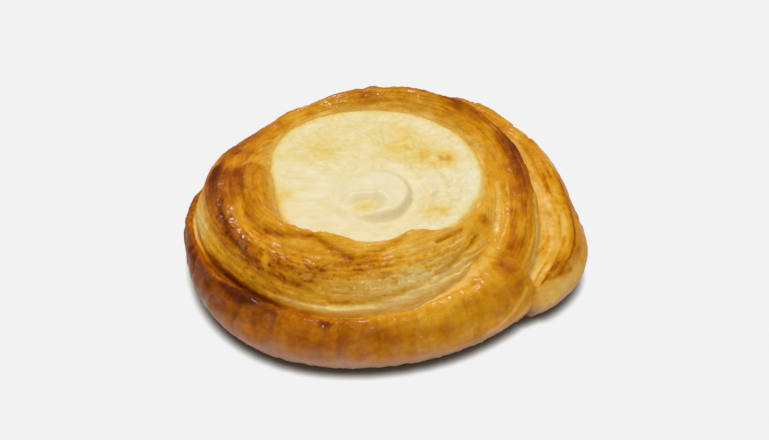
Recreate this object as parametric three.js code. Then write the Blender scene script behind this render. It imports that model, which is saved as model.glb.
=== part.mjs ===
// A coiled danish pastry with a baked cream filling.
//
// One strip of laminated dough is wound into a snail. The last turn of the strip starts high on the right, runs
// clockwise round the front, left and back, and drops lower as it goes. Its tail is tucked under its own start
// at the front right. The middle of the snail is pressed into a well, and the well holds a pool of cream with
// the small swirl that the piping nozzle left.
//
// Millimetres, +Z up. The front is -Y, and the origin is the middle of the footprint, on the surface it rests on.

import * as THREE from "three";

// Driving sizes

const SEAM_DEG = 323; // where the tail goes under its own start, counter-clockwise from +X
const SEAM_GAP_DEG = 2; // how far round the step from the tail up to the start takes
const SECTIONS = 120; // round the pastry
const STEPS = 3; // between neighbouring lines of a section
const CREAM_LEVEL = 25; // top of the cream where it meets the dough
const WELL_DEPTH = 9; // from the cream's level to the well's floor
const BASE_INSET = 5.5; // the flat underside's edge, inside the widest line
const CURL_INSET = 1.7; // where the side turns under towards the base
const CURL_HEIGHT = 3;
const CLEARANCE = 0.4; // between the dough and the cream

// The section's lines, outermost first. Each is a radius about the well's centre and a height, given at nine
// stations along the strip's last turn: every 45 degrees, clockwise from the seam back to the seam.
const LINES = {
  // widest line of the outer turn
  side: {
    r: [57.2, 57.6, 61.8, 58.2, 52.7, 51.6, 52.6, 59.4, 60.4],
    z: [8.5, 8.5, 8.5, 9, 8, 9, 10, 11, 8],
  },
  // top of the outer turn
  crest: {
    r: [52.4, 52.3, 57, 56.6, 49.2, 46.8, 47.6, 53.6, 58.2],
    z: [20, 17.6, 17.2, 16, 12.3, 18.4, 25.1, 22.2, 14.5],
  },
  // crease between the two turns
  groove: {
    r: [41.5, 47.5, 53, 54.8, 47.8, 43, 42.4, 46.8, 55],
    z: [22.2, 17, 16, 15.5, 13, 18, 24.2, 21.8, 15],
  },
  // outer face of the inner turn
  flank: {
    r: [39.8, 45, 49.8, 53, 46.3, 40.5, 40, 44.5, 53],
    z: [23.6, 21, 20, 21.5, 20.3, 26.7, 29, 27.5, 18.8],
  },
  // outer edge of the inner turn's top
  ridge: {
    r: [37.8, 41, 46, 48.8, 42.4, 38.6, 38.6, 41.5, 49.5],
    z: [25.2, 26.8, 26.5, 27.2, 24.8, 29.6, 31.7, 30.8, 22],
  },
  // middle of the inner turn's top
  fold: {
    r: [35.8, 36.5, 42.5, 41.6, 39.6, 37.4, 37.4, 37.5, 41],
    z: [27, 29.3, 28, 28, 26.3, 29.5, 30.7, 28.6, 22.2],
  },
  // where the top rolls over towards the well
  lip: {
    r: [33.8, 32.5, 37, 35, 37.7, 35.8, 35.6, 34.5, 34.2],
    z: [27.4, 29.8, 30.5, 30.5, 26.3, 28.2, 28.6, 26.7, 26.8],
  },
  // where the dough meets the cream
  edge: {
    r: [31.5, 30, 34, 30.6, 35.6, 34, 33.2, 32.4, 31.5],
    z: Array(9).fill(CREAM_LEVEL),
  },
};

// Local swellings of a line: where round the pastry, over how many degrees, and how much in radius and height.
const SWELLS = {
  side: [{ at: -19, over: 15, r: 5 }], // the tail's bulge before it goes under
  crest: [
    { at: -19, over: 15, r: 4.2 },
    { at: 190, over: 6, r: 0.5, z: 1.3 }, // the tip where the outer turn comes up from behind the left side
  ],
  lip: [
    { at: 245, over: 14, r: -1.5, z: 2 }, // the two flaps that lean over the cream at the front
    { at: 292, over: 14, r: -1.5, z: 1.8 },
  ],
  edge: [
    { at: 245, over: 14, r: -1 },
    { at: 292, over: 14, r: -1 },
  ],
};

// The cream's swirl
const SWIRL = { x: 0, y: -6.8, radius: 10.8, height: 2.3 };
const DIMPLE = { x: -3.2, y: -12, radius: 4.5, depth: 1 };
const CREAM_RINGS = [0.12, 0.24, 0.33, 0.42, 0.6, 0.8]; // shares of the way from swirl centre to edge

const rad = THREE.MathUtils.degToRad;

// Shares of the last turn at which its sections stand: 0 is just in front of the seam and 1 just behind it.
const SHARES = Array.from({ length: SECTIONS }, (_, i) => i / (SECTIONS - 1));

// Angle at a share t of the last turn. The strip runs clockwise.
const angleAt = (t) => SEAM_DEG - SEAM_GAP_DEG / 2 - (360 - SEAM_GAP_DEG) * t;

// A smooth curve through evenly spaced values, at share t of its length.
function along(values, t) {
  const points = values.map((v) => new THREE.Vector3(v, 0, 0));
  return new THREE.CatmullRomCurve3(points, false, "catmullrom", 0.5).getPoint(t).x;
}

// 1 at the angle `at`, fading to nothing beyond `over` degrees on either side.
function bell(angle, at, over) {
  const off = THREE.MathUtils.euclideanModulo(angle - at + 180, 360) - 180;
  return Math.exp(-((off / over) ** 2));
}

// The point where the line called `name` crosses the section at share t: x is the radius and y the height.
function linePoint(name, t) {
  const angle = angleAt(t);
  const point = new THREE.Vector2(along(LINES[name].r, t), along(LINES[name].z, t));
  for (const { at, over, r = 0, z = 0 } of SWELLS[name] ?? []) {
    const share = bell(angle, at, over);
    point.x += r * share;
    point.y += z * share;
  }
  return point;
}

// The well's wall and floor below the cream's edge, shrunk by `inset` on all sides.
function wellPoints(edgeRadius, inset) {
  const floor = CREAM_LEVEL - WELL_DEPTH + inset;
  return [
    new THREE.Vector2(edgeRadius - 1.2 - inset, CREAM_LEVEL - 0.45 * WELL_DEPTH),
    new THREE.Vector2(edgeRadius - 3.5 - inset, floor + 0.12 * WELL_DEPTH),
    new THREE.Vector2(edgeRadius - 9 - inset, floor),
  ];
}

// The dough's section at share t, from the flat base's edge over the coils and down the well. Every line has
// a point of its own, and the smooth curve through them all has STEPS points from one line to the next.
function doughSection(t) {
  const side = linePoint("side", t);
  const lines = Object.keys(LINES).map((name) => linePoint(name, t));
  const edge = lines[lines.length - 1];
  const keys = [
    new THREE.Vector2(side.x - BASE_INSET, 0),
    new THREE.Vector2(side.x - CURL_INSET, CURL_HEIGHT),
    ...lines,
    ...wellPoints(edge.x, 0),
  ];
  const curve = new THREE.CatmullRomCurve3(
    keys.map((p) => new THREE.Vector3(p.x, p.y, 0)),
    false,
    "centripetal",
  );
  const hidden = keys.length - 1 - 3; // the well's wall below the cream needs no points between its own
  const section = [];
  for (let k = 0; k < keys.length; k++) {
    const steps = k < hidden ? STEPS : 1;
    for (let step = 0; step < steps; step++) {
      const p = curve.getPoint(Math.min(1, (k + step / steps) / (keys.length - 1)));
      section.push(placed(p, t));
    }
  }
  return section;
}

// Height of the cream's top at a point: level at its edge, with the nozzle's swirl and the dimple in it.
function creamHeight(x, y) {
  const fromSwirl = Math.hypot(x - SWIRL.x, y - SWIRL.y) / SWIRL.radius;
  const fromDimple = Math.hypot(x - DIMPLE.x, y - DIMPLE.y) / DIMPLE.radius;
  return (
    CREAM_LEVEL +
    SWIRL.height * Math.exp(-(fromSwirl ** 4)) -
    DIMPLE.depth * Math.exp(-(fromDimple ** 2))
  );
}

// A section point (radius, height) turned to the angle at share t.
function placed(point, t) {
  const a = rad(angleAt(t));
  return new THREE.Vector3(point.x * Math.cos(a), point.x * Math.sin(a), point.y);
}

// Faces between two neighbouring sections that differ, each step taken where it spans the least.
function stitch(positions, a, b, count) {
  const faces = [];
  let i = 0;
  let j = 0;
  while (i < count - 1 || j < count - 1) {
    const spanA = i < count - 1 ? positions[a + i + 1].distanceTo(positions[b + j]) : Infinity;
    const spanB = j < count - 1 ? positions[a + i].distanceTo(positions[b + j + 1]) : Infinity;
    if (spanA < spanB) {
      faces.push(a + i, a + i + 1, b + j);
      i++;
    } else {
      faces.push(a + i, b + j + 1, b + j);
      j++;
    }
  }
  return faces;
}

// One closed surface over the sections round the pastry, each from its outer end to its inner one, with a
// centre point at each end. The last section is stitched to the first, across the seam.
function closedSurface(sections, outerCentre, innerCentre) {
  const count = sections[0].length;
  const positions = [...sections.flat(), outerCentre, innerCentre];
  const outer = positions.length - 2;
  const inner = positions.length - 1;
  const faces = [];
  sections.forEach((_, i) => {
    const a = i * count;
    const b = ((i + 1) % sections.length) * count;
    faces.push(outer, a, b);
    faces.push(inner, b + count - 1, a + count - 1);
    if (b === 0) {
      faces.push(...stitch(positions, a, b, count));
      return;
    }
    for (let k = 0; k < count - 1; k++) {
      faces.push(a + k, a + k + 1, b + k + 1);
      faces.push(a + k, b + k + 1, b + k);
    }
  });
  const geometry = new THREE.BufferGeometry();
  const numbers = positions.flatMap((p) => p.toArray());
  geometry.setAttribute("position", new THREE.Float32BufferAttribute(numbers, 3));
  geometry.setIndex(faces);
  geometry.computeVertexNormals();
  return geometry;
}

function doughGeometry() {
  return closedSurface(
    SHARES.map(doughSection),
    new THREE.Vector3(0, 0, 0),
    new THREE.Vector3(0, 0, CREAM_LEVEL - WELL_DEPTH),
  );
}

// The cream's section at share t: up the well's wall, then in over the top towards the swirl's centre.
function creamSection(t) {
  const radius = linePoint("edge", t).x;
  const wall = wellPoints(radius, CLEARANCE).map((p) => placed(p, t));
  const rim = placed(new THREE.Vector2(radius - CLEARANCE, CREAM_LEVEL), t);
  const centre = new THREE.Vector3(SWIRL.x, SWIRL.y, CREAM_LEVEL);
  const top = CREAM_RINGS.map((share) => {
    const p = centre.clone().lerp(rim, share);
    p.z = creamHeight(p.x, p.y);
    return p;
  });
  return [...wall.toReversed(), rim, ...top.toReversed()];
}

function creamGeometry() {
  return closedSurface(
    SHARES.map(creamSection),
    new THREE.Vector3(0, 0, CREAM_LEVEL - WELL_DEPTH + CLEARANCE),
    new THREE.Vector3(SWIRL.x, SWIRL.y, creamHeight(SWIRL.x, SWIRL.y)),
  );
}

const doughMaterial = new THREE.MeshStandardMaterial({
  color: 0xc98a2c,
  roughness: 0.45,
  metalness: 0,
});
const creamMaterial = new THREE.MeshStandardMaterial({
  color: 0xeee0b0,
  roughness: 0.5,
  metalness: 0,
});

const dough = new THREE.Mesh(doughGeometry(), doughMaterial);
dough.name = "dough";
const cream = new THREE.Mesh(creamGeometry(), creamMaterial);
cream.name = "cream_filling";

const danish = new THREE.Group();
danish.add(dough, cream);

// The well isn't quite in the middle of the pastry, so the whole is moved to stand centred on the origin.
const box = new THREE.Box3().setFromObject(danish);
const middle = box.getCenter(new THREE.Vector3());
danish.position.set(-middle.x, -middle.y, -box.min.z);

export default danish;
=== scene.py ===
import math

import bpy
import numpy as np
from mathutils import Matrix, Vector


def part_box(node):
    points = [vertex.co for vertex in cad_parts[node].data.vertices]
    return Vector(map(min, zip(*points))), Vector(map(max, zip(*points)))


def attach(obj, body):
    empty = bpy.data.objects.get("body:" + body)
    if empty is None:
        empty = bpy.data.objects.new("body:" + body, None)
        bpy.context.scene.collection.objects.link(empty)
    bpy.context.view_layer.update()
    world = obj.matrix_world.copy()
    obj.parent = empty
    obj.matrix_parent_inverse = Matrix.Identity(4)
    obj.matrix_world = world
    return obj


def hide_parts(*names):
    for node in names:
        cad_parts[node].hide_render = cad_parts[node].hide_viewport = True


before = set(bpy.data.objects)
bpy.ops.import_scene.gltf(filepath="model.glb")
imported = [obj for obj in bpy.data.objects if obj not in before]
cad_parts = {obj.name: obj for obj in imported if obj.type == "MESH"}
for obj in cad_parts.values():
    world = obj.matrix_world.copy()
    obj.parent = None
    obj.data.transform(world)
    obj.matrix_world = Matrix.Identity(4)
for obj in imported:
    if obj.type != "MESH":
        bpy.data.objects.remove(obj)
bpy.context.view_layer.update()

# A coiled danish pastry with a baked cream filling, in front of soft light from above.
#
# One strip of dough is wound clockwise. The shapes below are in millimetres about the middle of the cream,
# and they are moved onto the CAD model's box at the end. A place on the dough is given by two numbers: the
# angle counter-clockwise from +X, and the line across the coils, counted from the outside in.

MM = 0.001


# ---------------------------------------------------------------- the dough's lines

SEAM_DEG = 323.0  # where the tail goes under its own start
SEAM_GAP_DEG = 0.5  # how far round the step from the tail up to the start takes
SECTIONS = 840  # round the pastry
CREAM_LEVEL = 25.0
WELL_DEPTH = 9.0
BASE_INSET = 5.5  # the flat underside's edge, inside the widest line
CURL_INSET = 1.7  # where the side turns under towards the base
CURL_HEIGHT = 3.0
# Down the well: inset from the cream's edge, and share of the well's depth
WELL_POINTS = ((1.2, 0.45), (3.5, 0.88), (9.0, 1.0))
STRIP_RADIUS = 50.0  # of the strip's middle, for lengths along it

# Each line's radius and height every 45 degrees, clockwise from the seam back to the seam.
LINES = {
    "side": (
        (57.2, 57.6, 61.8, 58.2, 52.7, 51.6, 52.6, 59.4, 60.4),
        (8.5, 8.5, 8.5, 9, 8, 9, 10, 11, 8),
    ),
    "crest": (
        (52.4, 52.3, 57, 56.6, 49.2, 46.8, 47.6, 53.6, 58.2),
        (20, 17.6, 17.2, 16, 12.3, 18.4, 25.1, 22.2, 14.5),
    ),
    "groove": (
        (41.5, 47.5, 53, 54.8, 47.8, 43, 42.4, 46.8, 55),
        (22.2, 17, 16, 15.5, 13, 18, 24.2, 21.8, 15),
    ),
    "flank": (
        (39.8, 45, 49.8, 53, 46.3, 40.5, 40, 44.5, 53),
        (23.6, 21, 20, 21.5, 20.3, 26.7, 29, 27.5, 18.8),
    ),
    "ridge": (
        (37.8, 41, 46, 48.8, 42.4, 38.6, 38.6, 41.5, 49.5),
        (25.2, 26.8, 26.5, 27.2, 24.8, 29.6, 31.7, 30.8, 22),
    ),
    "fold": (
        (35.8, 36.5, 42.5, 41.6, 39.6, 37.4, 37.4, 37.5, 41),
        (27, 29.3, 28, 28, 26.3, 29.5, 30.7, 28.6, 22.2),
    ),
    "lip": (
        (33.8, 32.5, 37, 35, 37.7, 35.8, 35.6, 34.5, 34.2),
        (27.4, 29.8, 30.5, 30.5, 26.3, 28.2, 28.6, 26.7, 26.8),
    ),
    "edge": (
        (31.5, 30, 34, 30.6, 35.6, 34, 33.2, 32.4, 31.5),
        (CREAM_LEVEL,) * 9,
    ),
}

# Swellings of a line: angle, reach in degrees, and what is added to its radius and height.
SWELLS = {
    "side": ((-19, 15, 5, 0),),  # the tail's bulge before it goes under
    "crest": ((-19, 15, 4.2, 0), (190, 6, 0.5, 1.3)),
    "lip": ((245, 14, -1.5, 2), (292, 14, -1.5, 1.8)),  # the two flaps that lean over the cream at the front
    "edge": ((245, 14, -1, 0), (292, 14, -1, 0)),
}

# How brown each line is baked at the same nine places: 0 is raw and 1 is nearly burnt.
BROWNING = {
    "base": (0.42, 0.42, 0.45, 0.5, 0.5, 0.5, 0.45, 0.35, 0.3),
    "curl": (0.48, 0.52, 0.6, 0.62, 0.58, 0.55, 0.5, 0.36, 0.3),
    "side": (0.5, 0.57, 0.72, 0.76, 0.68, 0.65, 0.6, 0.44, 0.2),
    "crest": (0.34, 0.52, 0.75, 0.8, 0.64, 0.62, 0.54, 0.4, 0.2),
    "groove": (0.34, 0.16, 0.6, 0.34, 0.5, 0.5, 0.46, 0.36, 0.2),
    "flank": (0.26, 0.08, 0.46, 0.36, 0.5, 0.62, 0.7, 0.68, 0.32),
    "ridge": (0.28, 0.25, 0.54, 0.82, 0.62, 0.6, 0.69, 0.7, 0.38),
    "fold": (0.32, 0.28, 0.44, 0.62, 0.5, 0.52, 0.56, 0.46, 0.36),
    "lip": (0.36, 0.28, 0.37, 0.5, 0.42, 0.46, 0.42, 0.36, 0.38),
    "edge": (0.28, 0.34, 0.32, 0.26, 0.35, 0.4, 0.3, 0.28, 0.3),
}

# The places across the coils, from the outside in, and the mesh's steps from each to the next.
BASE, CURL, SIDE, CREST, GROOVE, FLANK, RIDGE, FOLD, LIP, EDGE, WALL, FOOT, FLOOR = range(13)
STEPS = (3, 9, 22, 18, 14, 14, 14, 14, 12, 5, 2, 2)

# Patches that the oven caught or spared, and one of painted shade in a crease: angle, place, reach in
# degrees and places, and change in browning.
# An angle below zero is on the tail's side of the seam.
PATCHES = (
    (225, CREST + 0.1, 8, 0.35, 0.3),  # red-brown spot on the outer coil, front left
    (220, GROOVE, 20, 0.5, 0.3),  # painted shade in the crease behind it
    (255, CREST, 2.5, 0.25, 0.2),
    (250, GROOVE + 0.4, 24, 0.25, -0.34),  # thin bare line above the groove, front
    (-35, RIDGE - 0.2, 6, 0.6, 0.2),  # caught where the strip passes over its tail
    (320, CREST + 0.3, 5, 0.45, 0.18),
    (260, RIDGE + 0.4, 22, 0.5, 0.16),  # speckled band along the front
    (240, RIDGE - 0.3, 16, 0.5, 0.1),
    (290, FLANK + 0.3, 14, 0.7, -0.12),  # bare layers, front right
    (190, GROOVE + 0.5, 13, 0.75, -0.28),  # bare end of the band on the left
    (180, RIDGE, 9, 0.35, 0.16),
    (130, FOLD + 0.2, 9, 0.8, -0.1),
    (172, FOLD + 0.2, 5, 1.2, -0.24),  # spared dip at the left lip's end
    (170, FOLD + 0.6, 8, 0.5, 0.12),
    (35, RIDGE - 0.6, 22, 0.45, 0.04),  # dark ridge at the back right
    (12, FLANK + 0.2, 12, 0.4, 0.06),
    (15, GROOVE - 0.25, 30, 0.15, -0.08),  # bare edge beyond the deep groove
    (-27, CREST, 4, 0.3, 0.24),  # brown patch on the stretched tail
    (-22, GROOVE - 0.25, 9, 0.12, 0.26),
    (-15, GROOVE + 0.2, 16, 0.8, -0.09),  # stretched tail
    (318, RIDGE - 0.1, 7, 0.8, 0.1),
    (305, FOLD - 0.2, 10, 0.7, -0.1),
    (318, CREST - 0.1, 4, 0.5, 0.14),
    (-12, CREST - 0.25, 18, 0.45, 0.22),
    (-30, FOLD + 0.6, 3, 0.3, 0.24),
    (290, SIDE + 0.4, 12, 0.6, -0.06),
    (93, LIP, 8, 0.6, 0.1),
)

# Folds: the angles and places they run through, width and depth in mm, and change in browning; along the
# creases under the flaps, along the front and along the left band that darkening is painted shade.
FOLDS = (
    (((195, FOLD), (220, RIDGE + 0.5)), 1.3, 0.9, -0.24),  # outside the left lip
    (((-5, FOLD + 0.5), (-30, FOLD)), 1.1, 0.8, -0.26),  # down the right of the well
    (((-20, RIDGE + 0.5), (-35, RIDGE + 0.25)), 1.3, -0.4, 0.22),
    (((20, RIDGE - 0.25), (-10, RIDGE + 0.25)), 2.4, 0.2, 0.2),  # nearly burnt ridge
    (((40, FLANK - 0.25), (0, FLANK - 0.5), (-15, FLANK - 0.25)), 0.8, 0.4, -0.26),  # bare line below it
    (((-15, RIDGE), (-30, RIDGE - 0.5)), 1.3, 0.4, 0.16),
    (((300, FOLD), (315, FOLD + 0.25)), 0.8, 0.7, 0.3),  # brown curl at the right flap's end
    (((320, RIDGE - 0.25), (300, FLANK + 0.25), (255, FLANK - 0.25)), 0.8, 0.7, 0.22),  # long crease, front, darkened with painted shade
    (((310, GROOVE), (290, GROOVE + 0.5), (250, GROOVE + 0.25)), 1.2, -0.4, -0.2),  # pale bead under it
    (((-10, FLANK), (-30, GROOVE + 0.25)), 1.2, 0.5, -0.2),
    (((-18, CREST + 0.25), (-27, CREST + 0.25)), 0.5, 0.5, 0.3),  # short cracks on the tail
    (((-28, CREST + 0.25), (-36, CREST)), 0.5, 0.5, 0.3),
    (((5, CREST + 0.5), (-15, GROOVE)), 0.8, 0.6, 0.16),
    (((-35, CREST), (-25, CREST - 0.5)), 0.9, 0.3, 0.3),
    (((225, RIDGE + 0.25), (230, FLANK + 0.5)), 1.2, -0.4, -0.26),
    (((220, FOLD + 0.25), (240, FOLD + 0.75), (260, FOLD)), 1.2, 1.0, 0.24),  # painted shade in the crease under the left flap
    (((255, RIDGE + 0.5), (285, FOLD + 0.75)), 1.2, 0.9, 0.2),  # painted shade in the crease under the right flap
    (((195, RIDGE + 0.25), (220, FLANK + 0.5), (245, FLANK + 0.25)), 0.9, 0.6, 0.18),  # along the band, left, darkened with painted shade in its crease
    (((225, CREST + 0.5), (240, CREST)), 1.0, -0.5, 0.15),
    (((265, CREST - 0.25), (285, CREST)), 0.7, -0.5, -0.04),  # shining ridge along the front
    (((253, CREST), (252, SIDE + 0.5)), 1.0, -0.6, -0.06),
    (((240, CREST), (240, CURL + 0.5)), 1.0, 0.6, 0.06),
    (((285, CREST + 0.25), (283, SIDE + 0.5)), 0.8, 0.6, -0.1),  # dent across the outer face
    (((320, CREST - 0.5), (305, CURL + 0.75)), 0.7, -0.4, -0.28),  # stretched skin beside the seam
    (((322, SIDE), (310, CURL + 0.5)), 0.6, -0.3, -0.24),
)


def wrapped(degrees):
    """An angle brought to between -180 and 180."""
    return (np.asarray(degrees) + 180.0) % 360.0 - 180.0


def bell(value, reach):
    """1 at nothing, fading out beyond reach on either side."""
    return np.exp(-((value / reach) ** 2))


def along(values, t):
    """A smooth curve through evenly spaced values, at shares t of its length."""
    v = np.asarray(values, float)
    v = np.concatenate([[2 * v[0] - v[1]], v, [2 * v[-1] - v[-2]]])
    n = len(v) - 3
    x = np.clip(np.asarray(t, float), 0, 1) * n
    i = np.minimum(x.astype(int), n - 1)
    f = x - i
    a, b, c, d = v[i], v[i + 1], v[i + 2], v[i + 3]
    return b + 0.5 * f * (c - a + f * (2 * a - 5 * b + 4 * c - d + f * (3 * (b - c) + d - a)))


def angle_at(t):
    """The angle at shares t of the last turn, which runs clockwise from the seam."""
    return SEAM_DEG - SEAM_GAP_DEG / 2 - (360 - SEAM_GAP_DEG) * t


def line(name, t):
    """Radius and height of a line of the dough at shares t of the last turn."""
    r, z = along(LINES[name][0], t), along(LINES[name][1], t)
    for at, reach, dr, dz in SWELLS.get(name, ()):
        share = bell(wrapped(angle_at(t) - at), reach)
        r = r + dr * share
        z = z + dz * share
    return np.stack([r, z], -1)


def key_points(t):
    """The points that each section passes through, by place across the coils."""
    side = line("side", t)
    edge = line("edge", t)
    base = np.stack([side[:, 0] - BASE_INSET, 0 * t], -1)
    curl = np.stack([side[:, 0] - CURL_INSET, 0 * t + CURL_HEIGHT], -1)
    coils = [line(name, t) for name in LINES]
    level = np.full_like(t, CREAM_LEVEL)
    well = [np.stack([edge[:, 0] - inset, level - share * WELL_DEPTH], -1) for inset, share in WELL_POINTS]
    return np.stack([base, curl, *coils, *well], 1)


def smooth_sections(keys, places):
    """Points of the smooth curves through each section's key points (centripetal Catmull-Rom)."""
    first = 2 * keys[:, :1] - keys[:, 1:2]
    last = 2 * keys[:, -1:] - keys[:, -2:-1]
    k = np.concatenate([first, keys, last], 1)
    span = np.maximum(np.sqrt(np.linalg.norm(np.diff(k, axis=1), axis=2)), 1e-4)[..., None]
    i = np.minimum(places.astype(int), keys.shape[1] - 2)
    f = (places - i)[None, :, None]
    a, b, c, d = k[:, i], k[:, i + 1], k[:, i + 2], k[:, i + 3]
    s0, s1, s2 = span[:, i], span[:, i + 1], span[:, i + 2]
    m1 = s1 * ((b - a) / s0 - (c - a) / (s0 + s1) + (c - b) / s1)
    m2 = s1 * ((c - b) / s1 - (d - b) / (s1 + s2) + (d - c) / s2)
    return b + f * (m1 + f * (-3 * b + 3 * c - 2 * m1 - m2 + f * (2 * b - 2 * c + m1 + m2)))


# ---------------------------------------------------------------- noise


def lattice(i, j, seed):
    """A repeatable number from 0 to 1 for each lattice point."""
    n = (i.astype(np.int64) * 374761393 + j.astype(np.int64) * 668265263 + seed * 974634533) & 0xFFFFFFFF
    n = ((n ^ (n >> 13)) * 1274126177) & 0xFFFFFFFF
    return ((n ^ (n >> 16)) & 0xFFFF) / 0xFFFF


def noise(x, y, seed=0):
    """Smooth noise from about -1 to 1, one unit to a feature."""
    i, j = np.floor(x), np.floor(y)
    f, g = x - i, y - j
    u, v = f * f * f * (f * (6 * f - 15) + 10), g * g * g * (g * (6 * g - 15) + 10)

    def corner(di, dj):
        a = 2 * np.pi * lattice(i + di, j + dj, seed)
        return np.cos(a) * (f - di) + np.sin(a) * (g - dj)

    low = corner(0, 0) * (1 - u) + corner(1, 0) * u
    high = corner(0, 1) * (1 - u) + corner(1, 1) * u
    return 1.5 * (low * (1 - v) + high * v)


def layered(x, y, seed=0, layers=3, rough=0.5):
    """Noise with finer layers added to it."""
    total, size = 0, 0
    for k in range(layers):
        total = total + rough**k * noise(x * 2**k, y * 2**k, seed + 17 * k)
        size += rough**k
    return total / size


def ramp(value, low, high):
    """0 below low, 1 above high, smooth between them."""
    x = np.clip((value - low) / (high - low), 0, 1)
    return x * x * (3 - 2 * x)


# ---------------------------------------------------------------- mesh helpers


def stitched(a, b, points, count):
    """Faces between two sections that differ, each step taken where it spans the least."""
    faces, i, j = [], 0, 0
    while i < count - 1 or j < count - 1:
        span_a = np.linalg.norm(points[a + i + 1] - points[b + j]) if i < count - 1 else math.inf
        span_b = np.linalg.norm(points[a + i] - points[b + j + 1]) if j < count - 1 else math.inf
        if span_a < span_b:
            faces.append((a + i, a + i + 1, b + j))
            i += 1
        else:
            faces.append((a + i, b + j + 1, b + j))
            j += 1
    return faces


def closed_surface(name, grid, outer, inner, seam):
    """A mesh over grid[section, place], closed round the pastry and by a centre point at each end."""
    sections, count = grid.shape[:2]
    points = np.concatenate([grid.reshape(-1, 3), [outer, inner]])
    a = np.arange(sections) * count
    b = np.roll(a, -1)
    if seam:
        a, b = a[:-1], b[:-1]
    k = np.arange(count - 1)
    quads = np.stack([a[:, None] + k, a[:, None] + k + 1, b[:, None] + k + 1, b[:, None] + k], -1)
    faces = [tuple(q) for q in quads.reshape(-1, 4).tolist()]
    if seam:
        faces += stitched((sections - 1) * count, 0, points, count)
    last = sections * count
    for i in range(sections):
        p, q = i * count, ((i + 1) % sections) * count
        faces.append((last, p, q))
        faces.append((last + 1, q + count - 1, p + count - 1))
    mesh = bpy.data.meshes.new(name)
    mesh.from_pydata((points * MM).tolist(), [], faces)
    mesh.shade_smooth()
    piece = bpy.data.objects.new(name, mesh)
    bpy.context.scene.collection.objects.link(piece)
    return piece


def store(piece, name, values, ends=0.0):
    """A number for each point of a closed surface, for the material to read."""
    data = np.concatenate([np.asarray(values, np.float32).ravel(), np.float32([ends, ends])])
    piece.data.attributes.new(name, "FLOAT", "POINT").data.foreach_set("value", data)


def store_vector(piece, name, values):
    data = np.concatenate([np.asarray(values, np.float32).reshape(-1, 3), np.zeros((2, 3), np.float32)])
    piece.data.attributes.new(name, "FLOAT_VECTOR", "POINT").data.foreach_set("vector", data.ravel())


def normals_of(grid):
    """Outward normals of a grid of points, with sections going clockwise and places going inwards."""
    across = np.gradient(grid, axis=1)
    round_ = np.gradient(grid, axis=0)
    n = np.cross(across, round_)
    return n / np.maximum(np.linalg.norm(n, axis=2, keepdims=True), 1e-9)


def distance_to(path, grid):
    """How far each point of a grid is from a path through the given points."""
    best = np.full(grid.shape[:2], np.inf)
    for p, q in zip(path[:-1], path[1:]):
        d = q - p
        f = np.clip(((grid - p) @ d) / max(d @ d, 1e-9), 0, 1)
        best = np.minimum(best, np.linalg.norm(grid - (p + f[..., None] * d), axis=2))
    return best


# ---------------------------------------------------------------- the dough

# Millimetres of each kind of relief, and of what the seam does to the strip.
GROOVE_DEPTH = 1.1
LAYER_SPACING = 2.1
LAYER_STEP = 0.34
LIP_FOLD_DEPTH = 0.7
DENT_DEPTH = 0.7
WRINKLE_HEIGHT = 0.5
BLISTER_HEIGHT = 0.5
TUCK_DEPTH = 1.6
END_ROUNDING = 0.7
CRINKLE_HEIGHT = 0.35
SEAM_CALM = 7.0
SEAM_DRIFT = 1.3
TRAIL_STEPS = 5  # of a fold, from each of its points to the next
COIL_OFFSET = 40.0  # keeps the two coils' streaks apart

shares = np.linspace(0, 1, SECTIONS)
places = np.concatenate([k + np.arange(n) / n for k, n in enumerate(STEPS)] + [[float(FLOOR)]])
angles = angle_at(shares)


def dough_points(t, q):
    """Points of the dough's smooth form, for every share t at every place q."""
    profile = smooth_sections(key_points(t), q)
    a = np.radians(angle_at(t))[:, None]
    return np.stack([profile[..., 0] * np.cos(a), profile[..., 0] * np.sin(a), profile[..., 1]], -1)


def trail(points):
    """Closely spaced points of the dough's smooth form along a line through the given angles and places."""
    angle, place = np.array(points, float).T
    knots = np.arange(len(points))
    at = np.linspace(0, knots[-1], TRAIL_STEPS * knots[-1] + 1)
    t = (SEAM_DEG - np.interp(at, knots, angle)) / 360
    q = np.interp(at, knots, place)
    return np.array([dough_points(t[k : k + 1], q[k : k + 1])[0, 0] for k in range(len(at))])


smooth = dough_points(shares, places)
T = np.broadcast_to(shares[:, None], smooth.shape[:2])
A = np.broadcast_to(angles[:, None], smooth.shape[:2])
Q = np.broadcast_to(places[None, :], smooth.shape[:2])

# Millimetres along the strip and across it. The inner coil is one turn behind the outer one.
TURN = 2 * np.pi * STRIP_RADIUS
across = np.cumsum(np.linalg.norm(np.diff(smooth, axis=1, prepend=smooth[:, :1]), axis=2), axis=1)
inner_coil = Q > GROOVE
S = TURN * (T - inner_coil)
crest_at = across[:, np.searchsorted(places, CREST)][:, None]
ridge_at = across[:, np.searchsorted(places, RIDGE)][:, None]
W = across - np.where(inner_coil, ridge_at, crest_at)


def table_value(table, t, q):
    """A number given on each line at nine places round the pastry, at shares t and places q."""
    rows = np.stack([along(values, t) for values in table.values()], -1)
    i = np.minimum(q.astype(int), rows.shape[1] - 2)
    f = ramp(q - i, 0.0, 1.0)
    return rows[:, i] * (1 - f) + rows[:, i + 1] * f


def between(low, high, soft):
    """1 between two angles, going counter-clockwise from low to high, fading over soft degrees."""
    middle, half = (low + high) / 2, (high - low) / 2
    return 1 - ramp(np.abs(wrapped(A - middle)), half - soft, half + soft)


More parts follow.
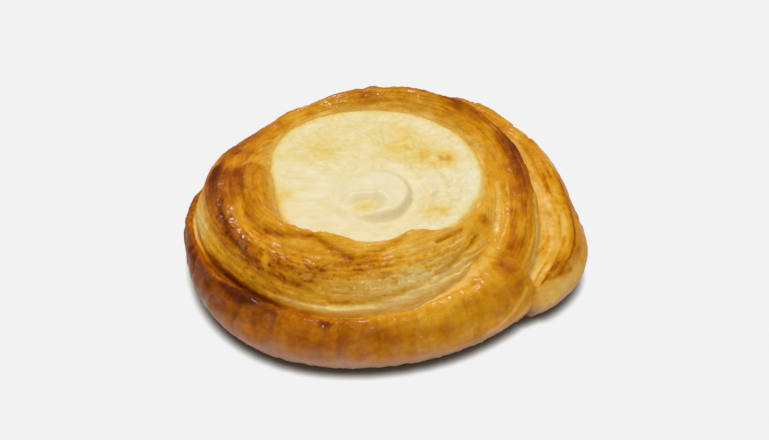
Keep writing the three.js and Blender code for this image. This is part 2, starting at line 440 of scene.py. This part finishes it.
# Patterns that the relief and the browning share.
wobble = layered(S / 7, W / 7, 41, 3)
outer = 1 - inner_coil
flaky = ramp(Q, GROOVE, GROOVE + 0.3) * (1 - ramp(Q, RIDGE - 0.2, FOLD + 0.5))
tail = between(-46, 12, 6) * (T > 0.5) * ramp(Q, CREST - 0.5, CREST) * outer
left_lip = between(163, 222, 6)
torn = Q - (CREST + 0.6 + 0.2 * wobble + 0.1 * noise(S / 1.6, 0 * W, 43))  # past the crust's torn edge
layer = noise(S / 20, W / 0.8 + 0.8 * noise(S / 9, W / 3, 5), 7)
pulled = layered(S / 13 + 0.3 * W, W / 1.4 + 0.7 * wobble, 13, 3, 0.6)
seam_side = np.minimum(T * TURN, (1 - T) * TURN)
calm = 1 - bell(seam_side, SEAM_CALM) * ramp(Q, CREST - 0.2, CREST + 0.3)


def relief():
    """Millimetres that each point stands out from the smooth form, before the folds."""
    top = ramp(Q, CURL, SIDE) * (1 - ramp(Q, LIP + 0.6, EDGE))
    after_seam = ramp(T, 0.005, 0.07)
    height = np.zeros(smooth.shape[:2])

    # the crease where the outer coil meets the inner one, and the torn edge of the crust beside it
    height -= GROOVE_DEPTH * bell(Q - GROOVE, 0.2) * after_seam
    ledge = (between(188, 300, 12) + 0.3) * (0.35 + 0.65 * ramp(noise(S / 9, 0 * W, 47), -0.2, 0.25))
    ledge = ledge * outer * ramp(Q, CREST, CREST + 0.5) * after_seam
    height += (0.5 * (1 - ramp(torn, -0.07, 0.07)) - 0.3) * ledge

    # the bare layers' edges, stepping up towards the middle
    strata = W / LAYER_SPACING + 0.5 * wobble + 0.35 * noise(S / 14, W / 6, 45)
    step = strata - np.floor(strata)
    bared = ramp(Q, GROOVE + 0.1, GROOVE + 0.5) * (1 - ramp(Q, FOLD, FOLD + 0.6))
    bared = bared * (between(255, 345, 18) + 0.3)
    height += LAYER_STEP * (ramp(step, 0, 0.75) - ramp(step, 0.8, 1.0) - 0.4) * bared

    # the fold between the left lip and the band outside it
    height -= LIP_FOLD_DEPTH * bell(Q - FOLD + 0.25 * wobble, 0.16) * left_lip

    # soft unevenness of the hand-rolled strip, and dents across its outer face
    height += (0.9 * layered(S / 13, W / 9, 3, 2) + 0.5 * layered(S / 5, W / 4, 9, 3, 0.55)) * top
    dents = bell(noise(S / 6, W / 30, 21) - 0.35, 0.1)
    height -= DENT_DEPTH * dents * outer * ramp(Q, CURL, SIDE) * (1 - ramp(Q, CREST, CREST + 0.6))

    # the uneven line where the dough meets the cream
    height += 0.6 * layered(S / 5, W / 6, 51, 2) * bell(Q - EDGE, 0.8) * ramp(WALL + 0.6 - Q, 0.0, 0.8)

    # fine layers along the strip, wrinkles where the tail is stretched, and blisters at the front
    height += 0.13 * layer * flaky
    height += 0.1 * noise(S / 16, W / 0.9, 8) * (1 - flaky) * top * inner_coil
    height += WRINKLE_HEIGHT * pulled * tail
    blisters = bell(Q - (RIDGE - 0.2), 1.2) * between(200, 315, 12)
    height += BLISTER_HEIGHT * layered(S / 1.8, W / 1.4, 15, 3, 0.65) * blisters

    # the strip's top runs smoothly over the seam
    return height * calm


def laid_folds():
    """Depth in millimetres of the folds, and what they add to the browning, which in some creases is painted
    shade.
    """
    depths = np.zeros(smooth.shape[:2])
    changes = np.zeros(smooth.shape[:2])
    for points, width, depth, change in FOLDS:
        near = bell(distance_to(trail(points), smooth) + 0.3 * width * wobble, width)
        near = near * (0.85 + 0.4 * noise(S / 5, W / 5, 91))
        depths += depth * near
        changes += change * near
    return depths, changes


def ends_and_base(height):
    """The relief with the strip's two ends at the seam, and the bottom edge, worked into it."""
    # the tail dips before it goes under, and the strip's edge above it is rounded
    before_seam = (1 - T) * TURN
    height -= TUCK_DEPTH * np.exp(-before_seam / 1.8) * (1 - ramp(Q, GROOVE, FLANK)) * ramp(Q, BASE, CURL)
    rounded = (1 - ramp(Q, CREST - 0.4, CREST + 0.1)) * ramp(Q, BASE, CURL)
    height -= END_ROUNDING * np.exp(-T * TURN / 1.1) * rounded

    # small crinkles along the bottom edge
    height += CRINKLE_HEIGHT * layered(S / 2.2, W / 5, 31, 2) * bell(Q - (CURL - 0.2), 0.7)
    return height * ramp(Q, BASE, BASE + 0.25)


def seam_drift():
    """A shift along the strip that lets the seam's line wander."""
    drift = SEAM_DRIFT * noise(np.linalg.norm(smooth[..., :2], axis=2) / 4.5, smooth[..., 2] / 9, 61)
    drift *= bell(seam_side, 6.0) * ramp(Q, BASE, SIDE) * (1 - ramp(Q, FOLD, LIP))
    clockwise = np.stack([smooth[..., 1], -smooth[..., 0], 0 * Q], -1)
    clockwise /= np.linalg.norm(clockwise, axis=2, keepdims=True)
    return clockwise * drift[..., None]


def browning_and_crease_shade(folded):
    """How brown each point is: the baked-in pattern, then patches, blotches, folds, streaks and specks, with
    painted shade darkening the creases of some folds and patches.
    """
    brown = table_value(BROWNING, shares, np.minimum(places, float(EDGE)))
    for angle, place, reach, spread, change in PATCHES:
        off = np.hypot((A - angle) / reach, (Q - place) / spread) + 0.35 * wobble
        brown += change * (1 - ramp(off, 0.4, 1.4))
    blotches = 0.17 * layered(S / 8, W / 4, 11, 4, 0.55) + 0.1 * noise(S / 22, W / 9, 12)
    blotches += 0.09 * noise(S / 12, W / 0.75, 17) * inner_coil + 0.07 * layer * flaky
    brown += blotches * calm + folded
    brown += 0.08 * layered(S / 2.4, W / 12, 19, 2) * outer
    brown += 0.3 * ramp(pulled, 0.05, 0.45) * tail - 0.12 * ramp(-pulled, 0.0, 0.4) * tail
    specks = ramp(layered(S / 3.0, W / 1.4, 27, 3, 0.65), 0.02, 0.4)
    brown += 0.24 * specks * bell(Q - (RIDGE - 0.15), 1.2) * between(200, 305, 15)
    # painted shade along the fold between the left lip and the band
    brown += 0.12 * bell(Q - FOLD + 0.25 * wobble, 0.2) * left_lip
    brown -= 0.16 * bell(torn - 0.14, 0.14) * outer * (1 - between(200, 240, 10))
    brown += 0.1 * bell(torn + 0.08, 0.1) * outer
    creamy = ramp(Q, LIP + 0.35 + 0.3 * wobble, EDGE + 0.1) * (1 - between(215, 305, 10))
    brown -= 0.3 * creamy * ramp(brown, 0.1, 0.4)
    return np.clip(brown, 0, 1)


def glazing():
    """1 where the egg wash reached, and less in the grooves and on the bare layers."""
    bare = flaky * 0.75 * (1 - 1.2 * bell(Q - (RIDGE - 0.2), 1.1) * between(195, 310, 15))
    bare += bell(Q - GROOVE, 0.45) + 0.75 * tail + (Q > LIP + 0.7)
    return np.clip(1 - bare, 0, 1)


def make_dough():
    depths, folded = laid_folds()
    height = ends_and_base(relief() - depths)
    grid = smooth + normals_of(smooth) * height[..., None] + seam_drift()
    well_floor = (0, 0, CREAM_LEVEL - WELL_DEPTH)
    piece = closed_surface("pastry_dough", grid, (0, 0, 0), well_floor, True)
    foot_top = SIDE + 0.2 + 0.3 * between(195, 290, 20)
    store_vector(piece, "strip", np.stack([S, W, inner_coil * COIL_OFFSET], -1))
    store(piece, "brown", browning_and_crease_shade(folded), 0.45)
    store(piece, "glaze", glazing(), 0.0)
    store(piece, "layers", np.clip(inner_coil * 1.0 + 0.6 * tail, 0, 1), 0.0)
    # the band at the foot of the outer face is partly the dough's paler foot and partly a painted pinkish
    # sheen of reflection
    store(piece, "pale_foot_and_sheen", 1 - ramp(Q + 0.4 * wobble, foot_top - 1.05, foot_top), 1.0)
    return piece


# ---------------------------------------------------------------- the cream

SWIRL = (0.0, -6.8)
SWIRL_RADIUS = 10.8
SWIRL_HEIGHT = 2.3
CREAM_RINGS = 110
CREAM_SECTORS = 420
CREAM_OVERLAP = 1.5  # into the dough, so that no gap shows
DIMPLE = (-3.2, -12.0)
DIMPLE_REACH = (6.4, 4.6)
DIMPLE_DEPTH = 1.5

# Where the skin caught: the spot's middle, its reach along x and y, and its strength.
GOLDEN_SPOTS = (
    (20.5, 9.5, 5.5, 3.5, 0.75),
    (7, 17, 5, 7, 0.42),
    (13, 12, 6, 5, 0.4),
    (19, -14, 6, 4.5, 0.55),
    (-27, -6, 2.5, 4, 0.45),
    (-17, 14, 5, 6, 0.3),
)


def cream_top(x, y, inward, from_swirl, dimple, cap, facing):
    """Height of the cream's skin above its level where it meets the dough."""
    bend = layered(x / 8, y / 8, 71, 3)
    side = np.clip(x / 30, 0, 1)
    z = SWIRL_HEIGHT * (0.75 + 0.25 * facing) * cap - 0.45 * bell(from_swirl - SWIRL_RADIUS - 0.8, 1.6)
    z -= DIMPLE_DEPTH * (1 - ramp(dimple, 0.45, 1.1)) - 0.25 * bell(dimple - 1.15, 0.22)

    # a thick smooth border on the right, and wrinkles at the back and right
    z += 0.7 * bell(inward - 2.8, 2.2) * (0.35 + 0.65 * side)
    wrinkled = np.clip(ramp(y, -4, 12) + ramp(x, 8, 16), 0, 1) * ramp(inward, 0.5, 4)
    z += 0.95 * layered(x / 6 + 0.6 * bend, y / 4.5, 73, 3, 0.6) * wrinkled
    rings = np.sin((from_swirl - SWIRL_RADIUS) * 1.5 + 2 * bend)
    z += 0.2 * rings * ramp(x, 6, 12) * bell(y + 6, 10) * ramp(inward, 1, 4)
    z += 0.22 * layered(x / 9, y / 2.2 + bend, 77, 2) * ramp(from_swirl, SWIRL_RADIUS, SWIRL_RADIUS + 3)
    return z - 0.9 * (1 - ramp(inward, 0.6, 3.0))


def cream_gold(x, y, inward, from_swirl, dimple, cap):
    """How golden the skin is: in its spots, in the dimple, towards the back and along the edge."""
    gold = 0
    for at_x, at_y, reach_x, reach_y, strength in GOLDEN_SPOTS:
        gold = gold + strength * bell(np.hypot((x - at_x) / reach_x, (y - at_y) / reach_y), 1.0)
    gold *= 0.75 + 0.9 * layered(x / 4, y / 3, 81, 3, 0.6)
    gold += 0.55 * bell(dimple, 0.5) * (0.9 + 0.6 * layered(x / 2, y / 2, 85, 2))
    around = ramp(from_swirl, SWIRL_RADIUS - 1, SWIRL_RADIUS + 3)
    gold += 0.1 + 0.14 * ramp(y, 2, 14) + 0.22 * layered(x / 6, y / 4, 83, 3, 0.6) * around
    gold += (0.55 + 0.3 * layered(x / 8, y / 8, 71, 3)) * (1 - ramp(inward, 1.2, 4.4))
    gold -= 0.16 * bell(inward - 5.5, 2.5) * np.clip(x / 30, 0, 1)
    gold *= 1 - 0.7 * cap * ramp(dimple, 0.6, 1.0)
    return np.clip(gold, 0, 1)


def make_cream():
    a = np.radians(np.linspace(360, 0, CREAM_SECTORS, endpoint=False))
    t = ((SEAM_DEG - np.degrees(a)) % 360) / 360
    edge = line("edge", t)[:, 0] + CREAM_OVERLAP
    rim = np.stack([edge * np.cos(a), edge * np.sin(a)], -1)
    share = np.linspace(1, 0.004, CREAM_RINGS)
    centre = np.array(SWIRL)
    xy = centre + (rim - centre)[:, None, :] * share[None, :, None]
    x, y = xy[..., 0], xy[..., 1]
    inward = (1 - share)[None, :] * np.linalg.norm(rim - centre, axis=1)[:, None]
    bend = layered(x / 8, y / 8, 71, 3)

    # the swirl: a low round cap, steepest at the lower right, with an oval hollow in its near left side
    from_swirl = np.hypot(x - SWIRL[0], (y - SWIRL[1]) * 0.91) + 0.5 * bend
    facing = np.cos(np.arctan2(y - SWIRL[1], x - SWIRL[0]) - math.radians(-30))
    cap = 1 - ramp(from_swirl, SWIRL_RADIUS - 1.8 - 1.3 * (1 - facing), SWIRL_RADIUS + 0.5)
    dimple = np.hypot((x - DIMPLE[0]) / DIMPLE_REACH[0], (y - DIMPLE[1]) / DIMPLE_REACH[1]) + 0.08 * bend

    z = CREAM_LEVEL + cream_top(x, y, inward, from_swirl, dimple, cap, facing)
    top = np.concatenate([xy, z[..., None]], -1)
    under = rim[:, None, :] * np.array([0.6, 0.9, 0.98])[None, :, None]
    depth = np.broadcast_to(CREAM_LEVEL - np.array([8.0, 6.0, 3.0]), under.shape[:2])
    under = np.concatenate([under, depth[..., None]], -1)
    grid = np.concatenate([under, top], 1)
    piece = closed_surface("baked_cream", grid, (0, 0, CREAM_LEVEL - 8.2), (*SWIRL, z[0, -1]), False)
    gold = cream_gold(x, y, inward, from_swirl, dimple, cap)
    store(piece, "golden", np.concatenate([np.full(under.shape[:2], 0.2), gold], 1), 0.1)
    return piece


# ---------------------------------------------------------------- materials


class Nodes:
    """Short calls for building a material's node tree."""

    def __init__(self, name):
        self.material = bpy.data.materials.new(name)
        self.material.use_nodes = True
        self.tree = self.material.node_tree
        self.shader = self.tree.nodes["Principled BSDF"]

    def add(self, kind, **sockets):
        node = self.tree.nodes.new(kind)
        for key, value in sockets.items():
            self.put(node, key, value)
        return node

    def put(self, node, key, value):
        socket = node.inputs[key.replace("_", " ")] if isinstance(key, str) else node.inputs[key]
        if isinstance(value, bpy.types.NodeSocket):
            self.tree.links.new(value, socket)
        else:
            socket.default_value = value

    def read(self, name):
        node = self.add("ShaderNodeAttribute")
        node.attribute_name = name
        return node

    def math(self, operation, *values):
        node = self.add("ShaderNodeMath")
        node.operation = operation
        for k, value in enumerate(values):
            self.put(node, k, value)
        return node.outputs[0]

    def colours(self, factor, stops):
        node = self.add("ShaderNodeValToRGB", Fac=factor)
        elements = node.color_ramp.elements
        while len(elements) < len(stops):
            elements.new(0.5)
        for element, (position, colour) in zip(elements, stops):
            element.position = position
            element.color = (*linear(colour), 1)
        return node.outputs["Color"]


def linear(colour):
    """Scene colour of a display colour given as 0 to 255."""
    return [c / 255 / 12.92 if c <= 10 else ((c / 255 + 0.055) / 1.055) ** 2.4 for c in colour]


# Crust colours from raw to nearly burnt.
CRUST = (
    (0.0, (240, 210, 130)),
    (0.18, (231, 184, 84)),
    (0.36, (223, 162, 34)),
    (0.52, (206, 134, 5)),
    (0.66, (180, 101, 1)),
    (0.8, (146, 72, 1)),
    (1.0, (94, 35, 2)),
)
# Pinkish colour at the foot of the outer face: the dough's paler foot, with a painted sheen of reflection in
# it.
FOOT_AND_SHEEN_COLOUR = (176, 135, 112)

# Cream colours from white to caught by the oven.
CREAM = (
    (0.0, (235, 225, 190)),
    (0.3, (230, 214, 150)),
    (0.6, (231, 202, 108)),
    (1.0, (218, 166, 50)),
)


def crust_material():
    m = Nodes("baked_crust")
    brown = m.read("brown").outputs["Fac"]
    glaze = m.read("glaze").outputs["Fac"]
    foot = m.read("pale_foot_and_sheen").outputs["Fac"]
    strip = m.read("strip").outputs["Vector"]
    place = m.add("ShaderNodeTexCoord").outputs["Object"]

    # browning broken up: fine mottling all over, thin streaks along the strip
    mottle = m.add("ShaderNodeTexNoise", Vector=place, Scale=650.0, Detail=4.0, Roughness=0.6).outputs["Fac"]
    stretched = m.add("ShaderNodeVectorMath", Vector=strip)
    stretched.operation = "MULTIPLY"
    stretched.inputs[1].default_value = (0.09, 1.5, 1.0)
    streak = m.add("ShaderNodeTexNoise", Vector=stretched.outputs[0], Scale=1.0, Detail=3.0).outputs["Fac"]
    shade = m.math("MULTIPLY_ADD", m.math("SUBTRACT", mottle, 0.5), 0.24, brown)
    layers = m.read("layers").outputs["Fac"]
    lines = m.math("MULTIPLY", m.math("SUBTRACT", streak, 0.5), layers)
    shade = m.math("MULTIPLY_ADD", lines, 0.26, shade)
    crust = m.colours(shade, CRUST)
    # mixed towards the pinkish foot colour: paler dough with a painted sheen of reflection
    mix = m.add("ShaderNodeMix")
    mix.data_type = "RGBA"
    m.tree.links.new(m.math("MULTIPLY", foot, 0.86), mix.inputs["Factor"])
    m.tree.links.new(crust, mix.inputs["A"])
    mix.inputs["B"].default_value = (*linear(FOOT_AND_SHEEN_COLOUR), 1)
    m.put(m.shader, "Base Color", mix.outputs["Result"])

    # gloss where the crust is glazed
    rough = m.math("MULTIPLY_ADD", glaze, -0.2, 0.68)
    rough = m.math("MULTIPLY_ADD", m.math("SUBTRACT", mottle, 0.5), 0.35, rough)
    m.put(m.shader, "Roughness", rough)
    m.put(m.shader, "Specular IOR Level", 0.06)
    wet = m.add("ShaderNodeTexNoise", Vector=place, Scale=160.0, Detail=3.0, Roughness=0.6).outputs["Fac"]
    wet = m.math("MULTIPLY", m.math("MULTIPLY", m.math("SUBTRACT", wet, 0.46), 2.8), glaze)
    m.put(m.shader, "Coat Weight", m.math("MAXIMUM", m.math("MINIMUM", wet, 0.7), 0.0))
    m.put(m.shader, "Coat Roughness", 0.14)

    # pores and blisters
    fine = m.add("ShaderNodeTexNoise", Vector=place, Scale=1500.0, Detail=3.0, Roughness=0.6).outputs["Fac"]
    coarse = m.add("ShaderNodeTexNoise", Vector=place, Scale=420.0, Detail=3.0, Roughness=0.6).outputs["Fac"]
    relief = m.math("MULTIPLY_ADD", coarse, 2.2, fine)
    relief = m.math("MULTIPLY_ADD", lines, 0.9, relief)
    bump = m.add("ShaderNodeBump", Height=relief, Distance=0.00022, Strength=0.8)
    m.put(m.shader, "Normal", bump.outputs["Normal"])
    return m.material


def cream_material():
    m = Nodes("baked_cream_skin")
    golden = m.read("golden").outputs["Fac"]
    place = m.add("ShaderNodeTexCoord").outputs["Object"]
    patchy = m.add("ShaderNodeTexNoise", Vector=place, Scale=230.0, Detail=4.0, Roughness=0.6).outputs["Fac"]
    shade = m.math("MULTIPLY_ADD", m.math("SUBTRACT", patchy, 0.5), 0.5, golden)
    m.put(m.shader, "Base Color", m.colours(shade, CREAM))
    m.put(m.shader, "Roughness", m.math("MULTIPLY_ADD", patchy, 0.2, 0.36))
    m.put(m.shader, "Subsurface Weight", 0.25)
    m.put(m.shader, "Subsurface Radius", (1.0, 0.7, 0.35))
    m.put(m.shader, "Subsurface Scale", 0.003)
    m.put(m.shader, "Specular IOR Level", 0.25)
    fine = m.add("ShaderNodeTexNoise", Vector=place, Scale=700.0, Detail=3.0).outputs["Fac"]
    relief = m.math("MULTIPLY_ADD", patchy, 1.5, fine)
    bump = m.add("ShaderNodeBump", Height=relief, Distance=0.0003, Strength=0.5)
    m.put(m.shader, "Normal", bump.outputs["Normal"])
    return m.material


# ---------------------------------------------------------------- putting it together


def coordinates(piece):
    """A piece's points, one to a row."""
    co = np.empty(len(piece.data.vertices) * 3, np.float32)
    piece.data.vertices.foreach_get("co", co)
    return co.reshape(-1, 3)


def fit_to_cad(dough, others):
    """Moves and very slightly scales all pieces together, so that the dough fills the CAD dough's box."""
    points = coordinates(dough)
    low, high = points.min(0), points.max(0)
    box_low, box_high = (np.array(v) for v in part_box("dough"))
    scale = (box_high - box_low) / (high - low)
    for piece in (dough, *others):
        fitted = box_low + (coordinates(piece) - low) * scale
        piece.data.vertices.foreach_set("co", fitted.astype(np.float32).ravel())
        piece.data.update()
    return box_low - low * scale


dough = make_dough()
cream = make_cream()
dough.data.materials.append(crust_material())
cream.data.materials.append(cream_material())
WELL = fit_to_cad(dough, [cream])  # the cream's middle, on the floor
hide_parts("dough")
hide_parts("cream_filling")
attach(dough, "root")
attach(cream, "root")


# ---------------------------------------------------------------- floor, light and camera

FLOOR_TONE = 242
ROOM_COLOUR = (1, 0.94, 0.84, 1)
ROOM_STRENGTH = 0.4
FLOOR_RADIUS = 6.0
SHADOW_REACH = 0.005
CAMERA_TILT_DEG = 42.0
CAMERA_DISTANCE = 0.6
CAMERA_AIM = (2.5, -5.8, 14.0)  # mm from the cream's middle on the floor
SENSOR_WIDTH = 36.0
LENS = 94.1


def make_floor():
    bpy.ops.mesh.primitive_circle_add(vertices=96, radius=FLOOR_RADIUS, fill_type="NGON", location=(0, 0, 0))
    floor = bpy.context.object
    floor.name = "floor"
    m = Nodes("pale_floor")
    out = m.tree.nodes["Material Output"]
    # The floor glows evenly; its contact shadow is painted into the glow from how near the pastry is, not
    # cast by the lamps.
    glow = m.add("ShaderNodeEmission", Strength=1.0)
    near = m.add("ShaderNodeAmbientOcclusion", Distance=SHADOW_REACH)
    near.samples = 16
    shadow = ((0.0, (30, 22, 16)), (0.35, (70, 60, 52)), (0.5, (150, 144, 138)), (0.74, (FLOOR_TONE,) * 3))
    m.put(glow, "Color", m.colours(near.outputs["AO"], shadow))
    m.tree.links.new(glow.outputs[0], out.inputs["Surface"])
    floor.data.materials.append(m.material)


def make_world():
    world = bpy.data.worlds.new("studio")
    world.use_nodes = True
    back = world.node_tree.nodes["Background"]
    back.inputs["Color"].default_value = ROOM_COLOUR
    back.inputs["Strength"].default_value = ROOM_STRENGTH
    bpy.context.scene.world = world


def make_light(name, azimuth, elevation, distance, size, watts):
    """A square soft light that looks at the pastry's middle. Azimuth 0 is in front and 90 on the right."""
    a, e = math.radians(azimuth), math.radians(elevation)
    data = bpy.data.lights.new(name, "AREA")
    data.size = size
    data.energy = watts
    light = bpy.data.objects.new(name, data)
    place = Vector((math.sin(a) * math.cos(e), -math.cos(a) * math.cos(e), math.sin(e))) * distance
    light.location = place
    light.rotation_mode = "QUATERNION"
    light.rotation_quaternion = (-place).to_track_quat("-Z", "Y")
    bpy.context.scene.collection.objects.link(light)


def make_camera():
    """In front of the pastry and looking down at it."""
    data = bpy.data.cameras.new("camera")
    data.sensor_width = SENSOR_WIDTH
    data.lens = LENS
    camera = bpy.data.objects.new("camera", data)
    tilt = math.radians(CAMERA_TILT_DEG)
    back = Vector((0, -math.cos(tilt), math.sin(tilt)))
    camera.location = Vector(WELL) + Vector(CAMERA_AIM) * MM + back * CAMERA_DISTANCE
    camera.rotation_mode = "QUATERNION"
    camera.rotation_quaternion = (-back).to_track_quat("-Z", "Y")
    bpy.context.scene.collection.objects.link(camera)
    bpy.context.scene.camera = camera


make_floor()
make_world()
make_light("key", 200, 66, 1.0, 0.28, 5.0)
make_light("front_fill", 10, 48, 1.2, 0.2, 3.0)
make_camera()
bpy.context.scene.view_settings.view_transform = "Standard"
